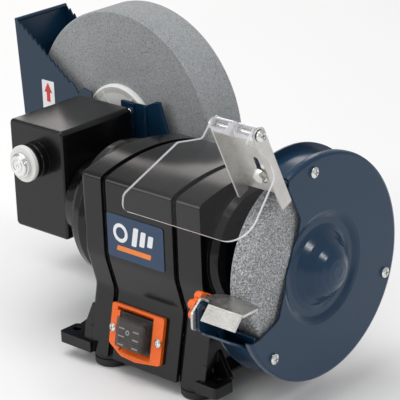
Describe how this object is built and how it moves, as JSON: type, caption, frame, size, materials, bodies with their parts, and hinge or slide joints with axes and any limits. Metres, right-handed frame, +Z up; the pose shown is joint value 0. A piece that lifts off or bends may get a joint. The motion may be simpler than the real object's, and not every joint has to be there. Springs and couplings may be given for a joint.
{
  "type": "bench grinder",
  "caption": "Combined wet and dry bench grinder: fast dry wheel in a pressed guard on the motor shaft, slow wide wet wheel in a water trough across it, driven by a worm gear case",
  "frame": {"origin": "on the bench, under the middle of the overall box", "axes": "+X along the motor shaft towards the dry wheel, +Y to the back, +Z up"},
  "size_m": [0.4316, 0.251, 0.25],
  "materials": {
    "housing_black": "gloss",
    "case_black": "satin",
    "guard_blue": "gloss",
    "trough_blue": "gloss",
    "zinc_steel": "satin",
    "bright_screw": "bright",
    "rubber_black": "matte",
    "base_grey": "matte",
    "iron_core": "matte",
    "copper_wire": "satin",
    "bearing_steel": "bright",
    "shaft_steel": "satin",
    "capacitor_grey": "matte",
    "orange_plastic": "satin",
    "switch_black": "matte",
    "clear_smoked": "gloss",
    "clear_shield": "gloss",
    "label_blue": "gloss",
    "label_white": "gloss",
    "bronze_bush": "satin",
    "worm_wheel_bronze": "satin",
    "dry_stone": "coarse",
    "wet_stone": "fine",
    "white_nylon": "satin",
    "paper_card": "matte",
    "fan_plastic": "matte"
  },
  "bodies": {
    "housing": {"base_cover": "base_grey", "bearing_outer_rings": "bearing_steel", "bracket_bolt": "bright_screw", "cable_gland": "rubber_black", "capacitor_clip": "zinc_steel", "cover_screws": "bright_screw", "direction_label": "label_white", "foot_screws": "bright_screw", "gear_case": "case_black", "gear_case_cover": "case_black", "guard_screws": "bright_screw", "left_end_frame": "housing_black", "motor_casing": "housing_black", "name_plate": "label_blue", "oil_seal": "rubber_black", "outer_cover": "guard_blue", "right_end_frame": "housing_black", "rubber_foot_1": "rubber_black", "rubber_foot_2": "rubber_black", "rubber_foot_3": "rubber_black", "rubber_foot_4": "rubber_black", "run_capacitor": "capacitor_grey", "stator_core": "iron_core", "stator_windings": "copper_wire", "switch_body": "switch_black", "switch_cover": "clear_smoked", "switch_plate": "orange_plastic", "switch_screws": "bright_screw", "through_bolts": "bright_screw", "trough": "trough_blue", "trough_screws": "bright_screw", "trough_spacers": "zinc_steel", "wave_washer": "bearing_steel", "wet_bushes": "bronze_bush", "wheel_guard": "guard_blue"},
    "motor_rotor": {"rotor_core": "iron_core", "motor_shaft": "shaft_steel", "cooling_fan": "fan_plastic", "bearing_inner_rings": "bearing_steel", "worm": "shaft_steel", "dry_wheel": "dry_stone", "inner_wheel_flange": "zinc_steel", "outer_wheel_flange": "zinc_steel", "paper_blotters": "paper_card", "arbor_nut": "bright_screw"},
    "wet_rotor": {"wet_shaft": "shaft_steel", "worm_wheel": "worm_wheel_bronze", "wet_wheel": "wet_stone", "wet_hub_front": "white_nylon", "wet_hub_back": "white_nylon", "wet_nut": "bright_screw", "front_washer": "white_nylon", "shaft_cap": "bright_screw"},
    "shield_carriage": {"shield_bracket": "zinc_steel", "hinge_pin": "bright_screw"},
    "shield": {"eye_shield": "clear_shield"},
    "rest": {"tool_rest": "zinc_steel", "rest_nut": "bright_screw"},
    "knob": {"rest_knob": "orange_plastic"},
    "rocker": {"switch_rocker": "switch_black"}
  },
  "joints": [
    {"name": "wet_spin", "type": "hinge", "parent": "housing", "child": "wet_rotor", "pos_m": [-0.09756, 0.00955, 0.15], "axis": [0, 1, 0], "continuous": true},
    {"name": "motor_spin", "type": "hinge", "parent": "housing", "child": "motor_rotor", "pos_m": [0.03844, 0.00955, 0.114], "axis": [1, 0, 0], "continuous": true},
    {"name": "shield_slide", "type": "slide", "parent": "housing", "child": "shield_carriage", "axis": [0, -0.4067, 0.9135], "range_m": [-0.0055, 0.0055]},
    {"name": "shield_tilt", "type": "hinge", "parent": "shield_carriage", "child": "shield", "pos_m": [0.15844, -0.06445, 0.239], "axis": [-1, 0, 0], "range_deg": [-20, 85]},
    {"name": "rest_slide", "type": "slide", "parent": "housing", "child": "rest", "axis": [0, -1, 0], "range_m": [-0.0012, 0.0055]},
    {"name": "knob_turn", "type": "hinge", "parent": "rest", "child": "knob", "pos_m": [0.12844, -0.07845, 0.102], "axis": [1, 0, 0], "range_deg": [-360, 360]},
    {"name": "rocker_tilt", "type": "hinge", "parent": "housing", "child": "rocker", "pos_m": [0.02844, -0.04248, 0.03809], "axis": [-1, 0, 0], "range_deg": [0, 10]}
  ],
  "couplings": [
    {"joint": "motor_spin", "follows": "wet_spin", "ratio": 22}
  ]
}
